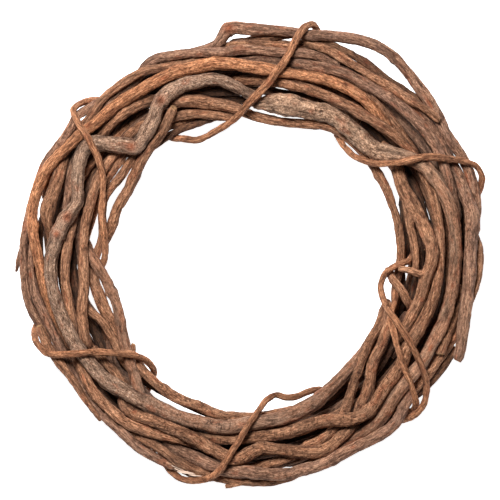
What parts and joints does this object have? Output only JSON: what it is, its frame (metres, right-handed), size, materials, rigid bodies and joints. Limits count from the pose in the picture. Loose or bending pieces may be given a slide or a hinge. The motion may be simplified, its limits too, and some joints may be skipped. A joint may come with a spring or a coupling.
{
  "type": "willow vine wreath",
  "caption": "Bare round wreath of long twisted willow vines, held by thin vines wound round the ring, with an open middle; lies flat on its back.",
  "frame": {"origin": "on the surface that the wreath rests on, under the middle of its outline", "axes": "+Z out of the front of the wreath, +Y towards the top of the wreath as the picture shows it, +X to its right"},
  "size_m": [0.2992, 0.2974, 0.0469],
  "materials": {
    "orange_bark": "peeled and orange-barked rods, satin",
    "brown_bark": "dry brown bark, satin to matt",
    "mauve_bark": "dull mauve-brown bark with fine cracks, matt",
    "grey_bark": "rough flaking grey-brown bark, matt",
    "speckled_bark": "grey-brown bark with pale specks and reddish scars, matt",
    "dark_bark": "dark brown bark, matt",
    "binder_bark": "smooth thin bark of a young rod, satin"
  },
  "bodies": {
    "root": {"outer_loop_vine": "mauve_bark", "elbow_vine": "mauve_bark", "narrow_band_vine": "brown_bark", "orange_cut_vine": "brown_bark", "deep_outer_vine": "brown_bark", "upper_band_vine": "mauve_bark", "orange_vine": "orange_bark", "under_orange_vine": "brown_bark", "flaky_vine": "grey_bark", "right_edge_vine": "mauve_bark", "knotted_vine": "mauve_bark", "short_edge_vine": "brown_bark", "forked_right_vine": "brown_bark", "inner_top_vine": "brown_bark", "brown_cross_vine": "brown_bark", "tucked_vine": "dark_bark", "short_cut_vine": "brown_bark", "lower_right_vine": "brown_bark", "lower_inner_vine": "brown_bark", "forked_speckled_vine": "speckled_bark", "lower_left_vine": "brown_bark", "lower_edge_vine": "brown_bark", "left_outer_vine": "mauve_bark", "pointed_vine": "brown_bark", "left_edge_vine": "mauve_bark", "left_brown_vine": "brown_bark", "dark_short_vine": "brown_bark", "inner_long_vine": "brown_bark", "inner_cut_vine": "brown_bark", "blunt_corner_vine": "brown_bark", "dark_left_vine": "dark_bark", "pale_short_vine": "brown_bark", "deep_upper_vine": "dark_bark", "right_tongue_vine": "brown_bark", "deep_vine_1": "dark_bark", "deep_vine_2": "dark_bark", "deep_vine_3": "dark_bark", "deep_vine_4": "dark_bark", "deep_vine_5": "dark_bark", "deep_vine_6": "dark_bark", "deep_vine_7": "dark_bark", "deep_vine_8": "dark_bark", "deep_vine_9": "dark_bark", "deep_vine_10": "dark_bark", "deep_vine_11": "dark_bark", "deep_vine_12": "dark_bark", "deep_vine_13": "dark_bark", "deep_vine_14": "dark_bark", "deep_vine_15": "dark_bark", "deep_vine_16": "dark_bark", "binder_right": "binder_bark", "binder_left": "binder_bark", "back_vine_1": "brown_bark", "back_vine_2": "mauve_bark", "back_vine_3": "brown_bark", "back_vine_4": "mauve_bark", "back_vine_5": "brown_bark", "back_vine_6": "mauve_bark", "back_vine_7": "brown_bark", "back_vine_8": "mauve_bark"}
  },
  "joints": []
}
